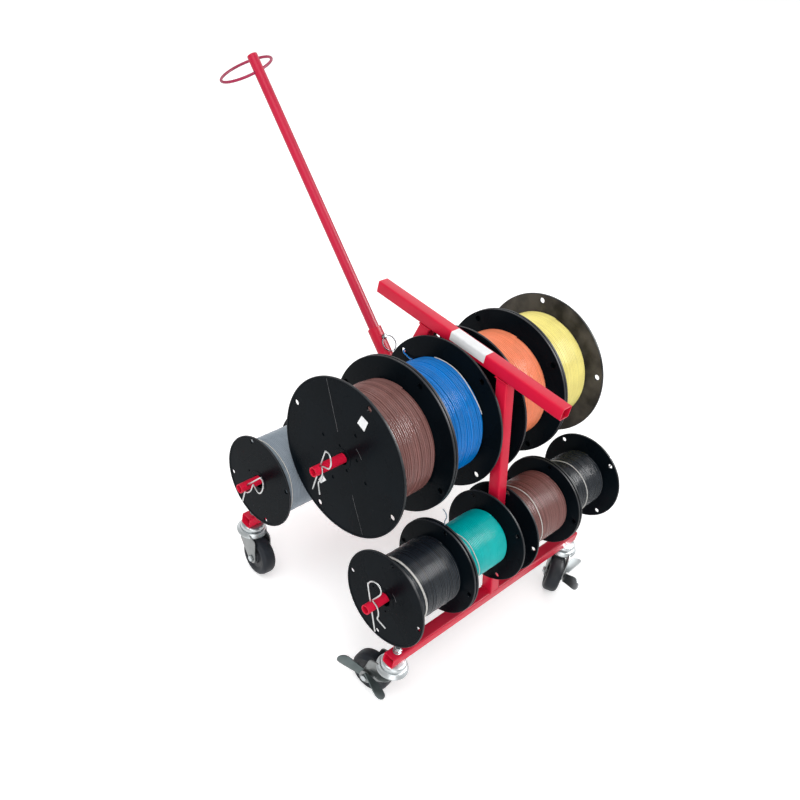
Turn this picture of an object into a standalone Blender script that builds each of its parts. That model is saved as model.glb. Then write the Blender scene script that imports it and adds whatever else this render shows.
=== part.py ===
"""Rolling wire-spool cart: an A-frame of red square tube on four swivel casters.

Three cross axles carry twelve plastic spools of building wire, four to an axle,
and a pull handle stands in a socket on the rear leg. X runs along the axles,
+Y points to the handle end, +Z is up, and the floor is at Z = 0.
"""
import math

import bmesh
import bpy
from mathutils import Matrix, Vector

MM = 0.001
GAP = 0.3 * MM                     # air left between touching pieces

# Square tube frame
TUBE = 22.2 * MM
TUBE_WALL = 1.5 * MM
TUBE_CORNER = 2.5 * MM
RAIL_Y = 187.8 * MM                # rail centre lines, front at -Y and rear at +Y
RAIL_HALF = 254 * MM
RAIL_BOTTOM = 94.2 * MM
RAIL_TOP = RAIL_BOTTOM + TUBE
BAR_HALF = 202 * MM
BAR_TOP = 535.5 * MM
BAR_BOTTOM = BAR_TOP - TUBE
LEG_FOOT_Y = 187.8 * MM
LEG_HEAD_Y = 84.9 * MM

# Axles: round tube with a clip hole near each end
AXLE_RADIUS = 8 * MM
AXLE_WALL = 1.6 * MM
AXLE_HALF = 308 * MM
TOP_AXLE_Z = 398.4 * MM
LOW_AXLE_Z = 238.3 * MM
CLIP_X = 295 * MM
CLIP_WIRE = 1.3 * MM
CLIP_HOLE = 2.1 * MM

# Spools: (flange radius, width, flange thickness, drum radius, bore radius, hole circle, hole radius)
LARGE = dict(flange=132.5 * MM, width=111.5 * MM, wall=4 * MM, drum=50 * MM, bore=10 * MM,
             hole_circle=120.5 * MM, hole=5 * MM, steps=28)
SMALL = dict(flange=82.5 * MM, width=121.5 * MM, wall=3.5 * MM, drum=32 * MM, bore=12 * MM,
             hole_circle=73.5 * MM, hole=4 * MM, steps=22)

# Each axle's spools from -X to +X: name, kind, lower X face, wire radius, colour, turns shown as a wound tube
TOP_SPOOLS = [
    ("brown_large", LARGE, -247.6 * MM, 98 * MM, "brown", 11),
    ("blue_large", LARGE, -134.6 * MM, 99 * MM, "blue", 11),
    ("orange_large", LARGE, 34.6 * MM, 99 * MM, "orange", 0),
    ("yellow_large", LARGE, 147.6 * MM, 101 * MM, "yellow", 0),
]
FRONT_SPOOLS = [
    ("black_front", SMALL, -266.5 * MM, 57.5 * MM, "black", 9),
    ("green_front", SMALL, -142.0 * MM, 51 * MM, "green", 0),
    ("brown_front", SMALL, 14.5 * MM, 60 * MM, "brown", 0),
    ("black_front_far", SMALL, 138.5 * MM, 53 * MM, "black", 0),
]
REAR_SPOOLS = [
    ("grey_rear", SMALL, -267.0 * MM, 69.5 * MM, "grey", 0),
    ("white_rear", SMALL, -142.5 * MM, 60 * MM, "white", 0),
    ("red_rear", SMALL, 15.0 * MM, 60 * MM, "red", 0),
    ("black_rear_far", SMALL, 139.0 * MM, 60 * MM, "black", 0),
]
WIRE_INSET = 3 * MM                # wire stops this far short of each flange
TURN_POINTS = 16                   # points in one turn of a wound tube
TURN_GAP = 0.6 * MM                # air between neighbouring turns

# Casters: 3 inch swivel type on a stem
CASTER_X = 236.5 * MM
WHEEL_RADIUS = 36.5 * MM
WHEEL_WIDTH = 28 * MM
WHEEL_BORE = 4.6 * MM
WHEEL_STEPS = 20
TRAIL = 32.5 * MM
STEM_RADIUS = 5 * MM
RACE_RADIUS = 22 * MM
RACE_TOP = RAIL_BOTTOM - GAP
RACE_BOTTOM = RACE_TOP - 9.5 * MM
FORK_TOP = RACE_BOTTOM - GAP
CROWN_RADIUS = 27.5 * MM
CROWN_DEPTH = 9.2 * MM
FORK_PLATE = 2.6 * MM
FORK_INNER = 15.5 * MM             # half the space between the fork legs
PIN_RADIUS = 4 * MM
# name, X sign, rail side, swivel heading of the wheel in degrees, has a brake
CASTERS = [
    ("front_left", -1, -1, 98, True),
    ("front_right", 1, -1, 210, True),
    ("rear_left", -1, 1, 266, False),
    ("rear_right", 1, 1, 250, False),
]
# Each brake pedal wing: root and tip from the axle in millimetres (along, up, across), width, roll in degrees
WINGS = [("front", (9.6, 5, 21), (45.6, 31.5, 44.3), 24, -14),
         ("back", (-5.5, 9.9, 21), (-50.2, 8.1, 41.4), 21, -69)]

# Handle: a round tube in a socket on the rear leg, held by a cross pin
HANDLE_FOOT = Vector((0, 131.0 * MM, 380.2 * MM))     # where its line meets the leg
HANDLE_HEAD = Vector((0, 604.8 * MM, 772.5 * MM))
HANDLE_RADIUS = 9.5 * MM
HANDLE_WALL = 1.6 * MM
SOCKET_RADIUS = 12.7 * MM
SOCKET_LENGTH = 89 * MM
SOCKET_WALL = 2.7 * MM
HANDLE_INSET = 12 * MM             # handle's lower end above the leg
RING_RADIUS = 49.5 * MM
RING_ROD = 2.6 * MM
RING_FROM_END = 29.7 * MM          # where the hoop passes through the handle
RING_TURN = (13.2, 19.3, 27.4)     # degrees: along the handle, over its top side, and of the hoop about that line
LOCK_PIN_RADIUS = 3 * MM
LOCK_PIN_AT = 67.4 * MM              # along the handle from the leg
SPLIT_RING_RADIUS = 14.5 * MM
SPLIT_RING_ROD = 1.2 * MM

COLOURS = {                        # base colour, roughness, metallic
    "red_paint": ((0.62, 0.02, 0.045), 0.35, 0.0),
    "zinc": ((0.62, 0.65, 0.68), 0.32, 1.0),
    "steel_wire": ((0.68, 0.68, 0.70), 0.28, 1.0),
    "spool_plastic": ((0.018, 0.019, 0.021), 0.42, 0.0),
    "tyre_rubber": ((0.03, 0.03, 0.033), 0.6, 0.0),
    "brown": ((0.20, 0.075, 0.05), 0.38, 0.0),
    "blue": ((0.01, 0.16, 0.55), 0.38, 0.0),
    "orange": ((0.90, 0.27, 0.10), 0.42, 0.0),
    "yellow": ((0.90, 0.66, 0.14), 0.42, 0.0),
    "black": ((0.03, 0.035, 0.045), 0.34, 0.0),
    "green": ((0.0, 0.45, 0.38), 0.38, 0.0),
    "grey": ((0.30, 0.33, 0.36), 0.45, 0.0),
    "white": ((0.80, 0.80, 0.78), 0.42, 0.0),
    "red": ((0.60, 0.03, 0.03), 0.40, 0.0),
}

HANDLE_DIRECTION = (HANDLE_HEAD - HANDLE_FOOT).normalized()
HANDLE_UP = Vector((0, -HANDLE_DIRECTION.z, HANDLE_DIRECTION.y))   # square to the handle, over its top side
RING_THROUGH = HANDLE_HEAD - HANDLE_DIRECTION * RING_FROM_END
LEG_SLOPE = (LEG_HEAD_Y - LEG_FOOT_Y) / (BAR_BOTTOM - RAIL_TOP)
LOW_AXLE_Y = LEG_FOOT_Y + LEG_SLOPE * (LOW_AXLE_Z - RAIL_TOP)

parts = bpy.data.collections.new("wire_spool_cart")
cutters = bpy.data.collections.new("cutters")


def clear_scene():
    """Remove every object that the file starts with."""
    for old in list(bpy.data.objects):
        bpy.data.objects.remove(old, do_unlink=True)
    bpy.context.scene.collection.children.link(parts)
    bpy.context.scene.collection.children.link(cutters)


def make_materials():
    """One Principled material for each finish."""
    made = {}
    for name, (colour, roughness, metallic) in COLOURS.items():
        material = bpy.data.materials.new(name)
        material.use_nodes = True
        shader = material.node_tree.nodes["Principled BSDF"]
        shader.inputs["Base Color"].default_value = (*colour, 1)
        shader.inputs["Roughness"].default_value = roughness
        shader.inputs["Metallic"].default_value = metallic
        made[name] = material
    return made


def place(name, data, finish, location=(0, 0, 0), turn=None):
    """Add a part to the cart at a location, with an optional rotation matrix."""
    part = bpy.data.objects.new(name, data)
    part.parent = origin
    part.location = location
    if turn is not None:
        part.rotation_euler = turn.to_euler()
    data.materials.append(materials[finish])
    parts.objects.link(part)
    return part


def cutter(name, mesh, location=(0, 0, 0), turn=None):
    """Add a guide shape that cuts a part and isn't built."""
    tool = bpy.data.objects.new(name, mesh)
    tool.parent = origin
    tool.location = location
    if turn is not None:
        tool.rotation_euler = turn.to_euler()
    tool.hide_render = True
    tool.display_type = "WIRE"
    cutters.objects.link(tool)
    return tool


def boolean(part, tool, operation="DIFFERENCE"):
    """Cut a part with a tool, or join the tool to it."""
    step = part.modifiers.new(operation.lower(), "BOOLEAN")
    step.operation = operation
    step.solver = "EXACT"
    step.object = tool


def turn_to(direction, side=Vector((0, 0, 1))):
    """Rotation that takes local Z to a direction and local X as near as it can to side."""
    z_axis = Vector(direction).normalized()
    x_axis = side - z_axis * side.dot(z_axis)
    x_axis = x_axis.normalized() if x_axis.length > 1e-6 else z_axis.orthogonal().normalized()
    y_axis = z_axis.cross(x_axis)
    return Matrix((x_axis, y_axis, z_axis)).transposed().to_4x4()


def box_mesh(name, size, corner=0.0, open_ends=False):
    """A box centred on its origin; its Z edges may be rounded and its Z ends left open."""
    mesh = bpy.data.meshes.new(name)
    shape = bmesh.new()
    bmesh.ops.create_cube(shape, size=1.0)
    bmesh.ops.scale(shape, vec=Vector(size), verts=shape.verts)
    if open_ends:
        ends = [f for f in shape.faces if abs(f.normal.z) > 0.9]
        bmesh.ops.delete(shape, geom=ends, context="FACES_ONLY")
    if corner:
        upright = [e for e in shape.edges if abs(e.verts[0].co.z - e.verts[1].co.z) > size[2] / 2]
        bmesh.ops.bevel(shape, geom=upright, offset=corner, segments=2, profile=0.5, affect="EDGES")
    shape.to_mesh(mesh)
    shape.free()
    return mesh


def rod_mesh(name, radius, length, sides=16, capped=True):
    """A cylinder along Z centred on its origin."""
    mesh = bpy.data.meshes.new(name)
    shape = bmesh.new()
    bmesh.ops.create_cone(shape, cap_ends=capped, segments=sides, radius1=radius, radius2=radius, depth=length)
    shape.to_mesh(mesh)
    shape.free()
    return mesh


def shell(part, wall):
    """Thicken an open surface inwards."""
    step = part.modifiers.new("wall", "SOLIDIFY")
    step.thickness = wall
    step.offset = -1
    step.use_even_offset = True


def square_tube(name, start, end, side):
    """An open square tube between two points, with one pair of its faces square to side."""
    run = end - start
    part = place(name, box_mesh(name, (TUBE, TUBE, run.length), TUBE_CORNER, True), "red_paint",
                 (start + end) / 2, turn_to(run, side))
    shell(part, TUBE_WALL)
    return part


def round_tube(name, start, end, radius, wall, sides=16):
    """An open round tube between two points."""
    run = end - start
    part = place(name, rod_mesh(name, radius, run.length, sides, False), "red_paint",
                 (start + end) / 2, turn_to(run))
    shell(part, wall)
    return part


def drill(part, point, direction, radius, length=80 * MM, sides=8):
    """Cut a round hole through a part."""
    name = part.name + "_hole"
    boolean(part, cutter(name, rod_mesh(name, radius, length, sides), point, turn_to(direction)))


def turned_mesh(name, profile, closed=True):
    """A turned profile of (radius, height) points, outer side running from top to bottom."""
    mesh = bpy.data.meshes.new(name)
    edges = [(i, i + 1) for i in range(len(profile) - 1)]
    if closed:
        edges.append((len(profile) - 1, 0))
    mesh.from_pydata([(radius, 0, height) for radius, height in profile], edges, [])
    return mesh


def spin(part, steps):
    """Turn a part's profile about its own Z axis."""
    step = part.modifiers.new("turned", "SCREW")
    step.steps = steps
    step.render_steps = steps
    step.use_merge_vertices = True
    step.merge_threshold = 0.00001


def curve_data(name, points, radius, cyclic=False, resolution=1):
    """A round wire along points."""
    data = bpy.data.curves.new(name, "CURVE")
    data.dimensions = "3D"
    data.bevel_depth = radius
    data.bevel_resolution = resolution
    data.use_fill_caps = not cyclic
    line = data.splines.new("POLY")
    line.points.add(len(points) - 1)
    for spot, point in zip(line.points, points):
        spot.co = (*point, 1)
    line.use_cyclic_u = cyclic
    return data


def as_mesh(part, collection):
    """Replace a curve object with a mesh object whose caps are welded."""
    bpy.context.view_layer.update()
    source = part.evaluated_get(bpy.context.evaluated_depsgraph_get())
    mesh = bpy.data.meshes.new_from_object(source)
    shape = bmesh.new()
    shape.from_mesh(mesh)
    bmesh.ops.remove_doubles(shape, verts=shape.verts, dist=0.00001)
    shape.to_mesh(mesh)
    shape.free()
    name, matrix = part.name, part.matrix_world.copy()
    bpy.data.objects.remove(part, do_unlink=True)
    solid = bpy.data.objects.new(name, mesh)
    solid.parent = origin
    solid.matrix_local = matrix
    collection.objects.link(solid)
    return solid


def flat_mesh(name, outline, thickness):
    """A flat plate in its own XY plane from an outline, centred on its thickness."""
    data = bpy.data.curves.new(name, "CURVE")
    data.dimensions = "2D"
    data.fill_mode = "BOTH"
    data.extrude = thickness / 2
    line = data.splines.new("POLY")
    line.points.add(len(outline) - 1)
    for spot, point in zip(line.points, outline):
        spot.co = (point[0], point[1], 0, 1)
    line.use_cyclic_u = True
    return data


def arc(centre, radius, start, stop, count):
    """Points on an arc, with angles in degrees."""
    spots = []
    for i in range(count):
        angle = math.radians(start + (stop - start) * i / (count - 1))
        spots.append((centre[0] + radius * math.cos(angle), centre[1] + radius * math.sin(angle)))
    return spots


# ---------------------------------------------------------------- frame

def make_frame():
    """Base rails, splayed legs, top bar and the cross bar that carries the top axle."""
    up = Vector((0, 0, 1))
    for side_name, side in (("front", -1), ("rear", 1)):
        y = side * RAIL_Y
        middle = RAIL_BOTTOM + TUBE / 2
        rail = square_tube(side_name + "_rail", Vector((-RAIL_HALF, y, middle)), Vector((RAIL_HALF, y, middle)), up)
        for x in (-CASTER_X, CASTER_X):
            drill(rail, (x, y, middle), up, STEM_RADIUS + 2 * GAP, sides=12)
        foot = Vector((0, side * LEG_FOOT_Y, RAIL_TOP))
        head = Vector((0, side * LEG_HEAD_Y, BAR_BOTTOM))
        spare = (head - foot).normalized() * 20 * MM
        leg = square_tube(side_name + "_leg", foot - spare, head + spare, Vector((1, 0, 0)))
        block = 100 * MM
        for label, z in (("foot", RAIL_TOP + GAP - block / 2), ("head", BAR_BOTTOM - GAP + block / 2)):
            y_here = side * (LEG_FOOT_Y if label == "foot" else LEG_HEAD_Y)
            trim = cutter(side_name + "_" + label + "_trim", box_mesh("trim", (block, block, block)), (0, y_here, z))
            boolean(leg, trim)
        drill(leg, (0, side * LOW_AXLE_Y, LOW_AXLE_Z), (1, 0, 0), AXLE_RADIUS + 1.5 * GAP, sides=16)
    bar_z = BAR_BOTTOM + TUBE / 2
    square_tube("top_bar", Vector((0, -BAR_HALF, bar_z)), Vector((0, BAR_HALF, bar_z)), up)
    cross = square_tube("axle_crossbar", Vector((0, -130 * MM, TOP_AXLE_Z)), Vector((0, 130 * MM, TOP_AXLE_Z)), up)
    for side_name, side in (("front", -1), ("rear", 1)):
        boolean(cross, leg_cutter(side_name + "_cross_trim", side, 60 * MM))
    drill(cross, (0, 0, TOP_AXLE_Z), (1, 0, 0), AXLE_RADIUS + 1.5 * GAP, sides=16)


def leg_cutter(name, side, depth):
    """A block as thick as a leg and its gaps, reaching further outwards by depth."""
    foot = Vector((0, side * LEG_FOOT_Y, RAIL_TOP))
    head = Vector((0, side * LEG_HEAD_Y, BAR_BOTTOM))
    run = (head - foot).normalized()
    outward = Vector((0, run.z * side, -run.y * side))
    size = (60 * MM, depth + TUBE + 2 * GAP, 500 * MM)
    centre = (foot + head) / 2 + outward * (depth / 2)
    turn = turn_to(run, Vector((1, 0, 0)))
    return cutter(name, box_mesh(name, size), centre, turn)


def make_axles():
    """The three axles, each drilled for a clip at both ends."""
    for name, y, z, leans in (("top_axle", 0, TOP_AXLE_Z, CLIP_LEAN["top"]),
                              ("front_axle", -LOW_AXLE_Y, LOW_AXLE_Z, CLIP_LEAN["front"]),
                              ("rear_axle", LOW_AXLE_Y, LOW_AXLE_Z, CLIP_LEAN["rear"])):
        axle = round_tube(name, Vector((-AXLE_HALF, y, z)), Vector((AXLE_HALF, y, z)), AXLE_RADIUS, AXLE_WALL)
        for sign, (lean, pull, twist) in zip((-1, 1), leans):
            angle = math.radians(lean)
            direction = Vector((0, -math.sin(angle), math.cos(angle)))
            drill(axle, (sign * CLIP_X, y, z), direction, CLIP_HOLE, 30 * MM, 8)
            make_clip(name.replace("axle", "clip") + ("_left" if sign < 0 else "_right"),
                      Vector((sign * CLIP_X, y, z)), direction, pull, twist)


# Each clip's lean from upright towards -Y in degrees, how far it is pulled up, and its twist about its leg
# in degrees, left end then right end
CLIP_LEAN = {"top": ((7.3, -5.7 * MM, -17.7), (-14, -4 * MM, 6)),
             "front": ((-25.1, -5.5 * MM, 7.9), (16, -4 * MM, -5)),
             "rear": ((36.1, 12 * MM, -22.6), (-10, -2 * MM, 8))}
# A clip's outline in millimetres: distance from the straight leg, height above the axle
CLIP_OUTLINE = [(0, -39), (0, 39), (1.5, 45), (5.5, 49.5), (12, 51.5), (19, 49), (23.5, 43), (24, 36), (20, 29.5),
                (5.2, 17.5), (6.5, 13.5), (11, 8), (12.8, 0), (11.8, -8), (9.4, -15), (22, -27)]


def make_clip(name, centre, up, pull, twist):
    """A hairpin clip: a straight leg through the axle, a loop, and a bowed leg round it."""
    side = Matrix.Rotation(math.radians(twist), 3, up) @ Vector((0, -up.z, up.y))
    points = [side * (u * MM) + up * (v * MM + pull) for u, v in CLIP_OUTLINE]
    place(name, curve_data(name, points, CLIP_WIRE, resolution=0), "steel_wire", centre)


# ---------------------------------------------------------------- spools

def make_spool(name, kind, x_low, wire_radius, colour, turns, y, axle_z):
    """A flanged plastic spool hanging on its axle, and the wire wound on it."""
    drop = kind["bore"] - AXLE_RADIUS - GAP
    centre = Vector((x_low + kind["width"] / 2, y, axle_z - drop))
    along = turn_to((1, 0, 0))
    half = kind["width"] / 2
    inner = half - kind["wall"]
    profile = [(kind["bore"], half), (kind["flange"], half), (kind["flange"], inner), (kind["drum"], inner),
               (kind["drum"], -inner), (kind["flange"], -inner), (kind["flange"], -half), (kind["bore"], -half)]
    spool = place("spool_" + name, turned_mesh("spool", profile), "spool_plastic", centre, along)
    spin(spool, kind["steps"])
    if name in HOLE_ANGLE:
        make_rim_holes(spool, kind, HOLE_ANGLE[name], centre, along)
    make_winding(name, kind, centre, along, wire_radius, colour, turns)


def make_rim_holes(spool, kind, first, centre, along):
    """Four lead holes near the rim, through both flanges."""
    holes = []
    for i in range(4):
        angle = math.radians(first + 90 * i)
        holes.append(Vector((math.cos(angle), math.sin(angle), 0)) * kind["hole_circle"])
    pins = bpy.data.meshes.new("rim_holes")
    shape = bmesh.new()
    for spot in holes:
        bmesh.ops.create_cone(shape, cap_ends=True, segments=6, radius1=kind["hole"], radius2=kind["hole"],
                              depth=kind["width"] + 10 * MM, matrix=Matrix.Translation(spot))
    shape.to_mesh(pins)
    shape.free()
    boolean(spool, cutter(spool.name + "_rim_holes", pins, centre, along))


# Turn of the rim holes from straight up, in degrees, on the spools whose holes show
HOLE_ANGLE = {"brown_large": 14, "grey_rear": 66, "black_front": 88}


def make_winding(name, kind, centre, along, wire_radius, colour, turns):
    """The wound wire: a turned body, and on some spools its outer layer as one wound tube."""
    half = kind["width"] / 2 - kind["wall"] - WIRE_INSET
    pitch = 2 * half / (turns + 1) if turns else 0
    tube = (pitch - TURN_GAP) / 2
    flat = math.cos(math.pi / TURN_POINTS)
    body_radius = wire_radius
    if turns:
        body_radius = (wire_radius - tube) * flat - tube - GAP
    low = kind["drum"] + GAP
    body = [(body_radius, half), (body_radius, -half), (low, -half), (low, half)]
    ring = place("wire_" + name, turned_mesh("wire", body), colour, centre, along)
    spin(ring, kind["steps"])
    if turns:
        points = turn_points(wire_radius - tube, pitch, turns, half - pitch / 2)
        coil = place("wire_" + name + "_turns", curve_data("turns", points, tube, resolution=0),
                     colour, centre, along)
        print(coil.name, "least gap to itself", round(least_gap(points, tube) / MM, 2), "mm")


def turn_points(radius, pitch, turns, reach):
    """Points along a wound layer, with a straight lead of one tube diameter at each end."""
    points = []
    count = turns * TURN_POINTS
    for i in range(count + 1):
        angle = 2 * math.pi * i / TURN_POINTS
        height = -reach + 2 * reach * i / count
        points.append(Vector((radius * math.cos(angle), radius * math.sin(angle), height)))
    lead = pitch * 0.9
    first = (points[0] - points[1]).normalized() * lead
    last = (points[-1] - points[-2]).normalized() * lead
    return [points[0] + first] + points + [points[-1] + last]


def least_gap(points, tube):
    """Smallest air gap between turns that aren't neighbours along the wire."""
    least = 1.0
    for i, here in enumerate(points):
        for there in points[i + TURN_POINTS // 2:]:
            least = min(least, (here - there).length - 2 * tube)
    return least


# ---------------------------------------------------------------- casters

def make_caster(name, x_sign, y_sign, heading, braked):
    """A swivel caster under a rail end: fixed stem, swivelling fork, wheel, and a brake pedal."""
    pivot = Vector((x_sign * CASTER_X, y_sign * RAIL_Y, 0))
    angle = math.radians(heading)
    along = Vector((math.cos(angle), math.sin(angle), 0))
    across = Vector((-along.y, along.x, 0))
    hub = pivot + along * TRAIL + Vector((0, 0, WHEEL_RADIUS))
    make_stem(name, pivot)
    make_fork(name, pivot, hub, along, across)
    make_wheel(name, hub, across)
    if braked:
        make_pedal(name, hub, along, across)


def make_stem(name, pivot):
    """Upper race plate, stem through the rail and the nut on top, as one fixed piece."""
    nut_low = RAIL_TOP + GAP
    nut_top = nut_low + 7 * MM
    nut = 8.5 * MM
    profile = [(0, nut_top + 3 * MM), (STEM_RADIUS, nut_top + 3 * MM), (STEM_RADIUS, nut_top), (nut, nut_top),
               (nut, nut_low), (STEM_RADIUS, nut_low), (STEM_RADIUS, RACE_TOP), (RACE_RADIUS - 4 * MM, RACE_TOP),
               (RACE_RADIUS, RACE_TOP - 4 * MM), (RACE_RADIUS, RACE_BOTTOM), (0, RACE_BOTTOM)]
    stem = place("caster_stem_" + name, turned_mesh("stem", profile, False), "zinc", pivot)
    spin(stem, 10)


def make_fork(name, pivot, hub, along, across):
    """Round crown under the race, two side plates down to the axle, and the axle rivet, in one piece."""
    rim = CROWN_RADIUS
    low = FORK_TOP - CROWN_DEPTH
    profile = [(0, FORK_TOP), (rim - 6 * MM, FORK_TOP), (rim - 3.5 * MM, FORK_TOP - 2.5 * MM), (rim, low + 2.4 * MM),
               (rim, low), (0, low)]
    fork = place("caster_fork_" + name, turned_mesh("fork", profile, False), "zinc", pivot)
    spin(fork, 14)
    plate_top = FORK_TOP - 3.5 * MM
    end = 10.5 * MM
    outline = [(-13 * MM, plate_top), (-9 * MM, plate_top - 21 * MM), (2.5 * MM, plate_top - 33 * MM)]
    outline += arc((TRAIL, WHEEL_RADIUS), end, 225, 375, 6)
    outline += [(36 * MM, plate_top - 9 * MM), (30 * MM, plate_top - 3 * MM), (18 * MM, plate_top)]
    upright = Matrix((along, Vector((0, 0, 1)), across * -1)).transposed().to_4x4()
    for sign in (-1, 1):
        label = "caster_fork_" + name + ("_plate_in" if sign < 0 else "_plate_out")
        data = flat_mesh(label, outline, FORK_PLATE)
        flat = bpy.data.objects.new(label, data)
        flat.matrix_world = Matrix.Translation(pivot + across * sign * (FORK_INNER + FORK_PLATE / 2)) @ upright
        cutters.objects.link(flat)
        plate = as_mesh(flat, cutters)
        hide_guide(plate)
        boolean(fork, plate, "UNION")
    rivet = rod_mesh("rivet", PIN_RADIUS, 2 * (FORK_INNER + FORK_PLATE + 1.6 * MM), 10)
    boolean(fork, cutter("caster_fork_" + name + "_rivet", rivet, hub, turn_to(across)), "UNION")


def hide_guide(tool):
    """Mark a shape as a guide that the build leaves out."""
    tool.hide_render = True
    tool.display_type = "WIRE"


def make_wheel(name, hub, across):
    """Rubber wheel with a stepped hub, resting on one of its flats."""
    radius = WHEEL_RADIUS / math.cos(math.pi / WHEEL_STEPS)
    half = WHEEL_WIDTH / 2
    profile = [(WHEEL_BORE, half), (12 * MM, half), (radius - 4.5 * MM, half - 1.2 * MM), (radius, half - 6 * MM),
               (radius, -half + 6 * MM), (radius - 4.5 * MM, -half + 1.2 * MM), (12 * MM, -half), (WHEEL_BORE, -half)]
    half_step = math.pi / WHEEL_STEPS
    down = Vector((0, 0, -1)) * math.cos(half_step) + across.cross(Vector((0, 0, -1))) * math.sin(half_step)
    wheel = place("caster_wheel_" + name, turned_mesh("wheel", profile), "tyre_rubber", hub,
                  turn_to(across, down))
    spin(wheel, WHEEL_STEPS)


def make_pedal(name, hub, along, across):
    """Two-winged brake pedal that rocks on the axle's outer end."""
    start = FORK_INNER + FORK_PLATE + 1.6 * MM + 2 * GAP
    thickness = 2.4 * MM
    centre = hub + across * (start + thickness / 2)
    disc = rod_mesh("pedal", 12 * MM, thickness, 10)
    pedal = place("brake_pedal_" + name, disc, "zinc", centre, turn_to(across))
    up = Vector((0, 0, 1))
    for label, root, tip, width, roll in WINGS:
        base, end = ((along * a + up * u + across * w) * MM for a, u, w in (root, tip))
        base += across * (start + thickness / 2 - base.dot(across))
        run = (end - base).normalized()
        outward = (across - run * across.dot(run)).normalized()
        side = run.cross(outward) * math.cos(math.radians(roll)) + outward * math.sin(math.radians(roll))
        turn = Matrix((run, side, run.cross(side))).transposed().to_4x4()
        half = width * MM / 2
        reach = (end - base).length
        tongue = [(-9 * MM, -half * 0.7), (-9 * MM, half * 0.7)]
        tongue += arc((reach - half, 0), half, 90, -90, 6)
        guide = "brake_pedal_" + name + "_" + label
        flat = bpy.data.objects.new(guide, flat_mesh(guide, tongue, thickness))
        flat.matrix_world = Matrix.Translation(hub + base) @ turn
        cutters.objects.link(flat)
        wing = as_mesh(flat, cutters)
        hide_guide(wing)
        trim_wing(wing, hub + across * (start - GAP / 2), across)
        boolean(pedal, wing, "UNION")


def trim_wing(wing, point, across):
    """Cut off what a wing has on the wheel's side of the pedal's back."""
    shape = bmesh.new()
    shape.from_mesh(wing.data)
    matrix = wing.matrix_basis.copy()
    shape.transform(matrix)
    cut = bmesh.ops.bisect_plane(shape, geom=shape.verts[:] + shape.edges[:] + shape.faces[:], plane_co=point,
                                 plane_no=across, clear_inner=True)
    rim = [part for part in cut["geom_cut"] if isinstance(part, bmesh.types.BMEdge)]
    if rim:
        bmesh.ops.holes_fill(shape, edges=rim, sides=0)
    shape.transform(matrix.inverted())
    shape.to_mesh(wing.data)
    shape.free()


# ---------------------------------------------------------------- handle

def make_handle():
    """Socket on the rear leg, handle tube, hoop grip and the cross pin that locks the tube."""
    foot = HANDLE_FOOT
    socket = round_tube("handle_socket", foot - HANDLE_DIRECTION * 8 * MM, foot + HANDLE_DIRECTION * SOCKET_LENGTH,
                        SOCKET_RADIUS, SOCKET_WALL, 20)
    boolean(socket, leg_cutter("socket_trim", 1, 0))
    tube = round_tube("handle_tube", foot + HANDLE_DIRECTION * HANDLE_INSET, HANDLE_HEAD, HANDLE_RADIUS, HANDLE_WALL)
    pin_at = foot + HANDLE_DIRECTION * LOCK_PIN_AT
    for part in (socket, tube):
        drill(part, pin_at, HANDLE_UP, LOCK_PIN_RADIUS + 1.5 * GAP, sides=10)
    through, outward = ring_axes()
    drill(tube, RING_THROUGH - outward * 0.4 * MM, through, RING_ROD + 0.9 * MM, 30 * MM, 10)
    turns = 24
    hoop = []
    for i in range(turns):
        angle = 2 * math.pi * i / turns
        hoop.append((through * math.sin(angle) + outward * math.cos(angle)) * RING_RADIUS)
    centre = RING_THROUGH - outward * RING_RADIUS
    place("handle_ring", curve_data("hoop", hoop, RING_ROD, cyclic=True, resolution=1), "red_paint", centre)
    make_lock_pin(pin_at)


def ring_axes():
    """The hoop's direction where it passes through the handle, and the direction from its centre to there."""
    yaw, tilt, roll = (math.radians(angle) for angle in RING_TURN)
    flat = Vector((1, 0, 0)) * math.cos(yaw) + HANDLE_DIRECTION * math.sin(yaw)
    through = flat * math.cos(tilt) + HANDLE_UP * math.sin(tilt)
    outward = (HANDLE_UP - through * HANDLE_UP.dot(through)).normalized()
    return through, outward * math.cos(roll) + through.cross(outward) * math.sin(roll)


def make_lock_pin(pin_at):
    """Headed pin through socket and handle, with a split ring in its head to pull it by."""
    head_start = SOCKET_RADIUS + 2 * GAP
    head = 4.4 * MM
    tail = -SOCKET_RADIUS - 5 * MM
    profile = [(0, head_start + 7.4 * MM), (head - 1.2 * MM, head_start + 7.4 * MM), (head, head_start + 6.4 * MM),
               (head, head_start), (LOCK_PIN_RADIUS, head_start), (LOCK_PIN_RADIUS, tail + 2 * MM),
               (LOCK_PIN_RADIUS - 1.2 * MM, tail), (0, tail)]
    pin = place("lock_pin", turned_mesh("lock_pin", profile, False), "zinc", pin_at, turn_to(HANDLE_UP))
    spin(pin, 12)
    side = Vector((2.5, 0, 0)) * MM - HANDLE_DIRECTION * 14.3 * MM
    centre = pin_at + side + HANDLE_UP * (head_start + 4.6 * MM)
    loop = []
    for i in range(16):
        angle = 2 * math.pi * i / 16
        loop.append((Vector((1, 0, 0)) * math.cos(angle) + HANDLE_DIRECTION * math.sin(angle)) * SPLIT_RING_RADIUS)
    ring = bpy.data.objects.new("split_ring", curve_data("split_ring", loop, SPLIT_RING_ROD, True, 0))
    ring.matrix_world = Matrix.Translation(centre)
    cutters.objects.link(ring)
    ring = as_mesh(ring, cutters)
    hide_guide(ring)
    boolean(pin, ring, "UNION")


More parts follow.
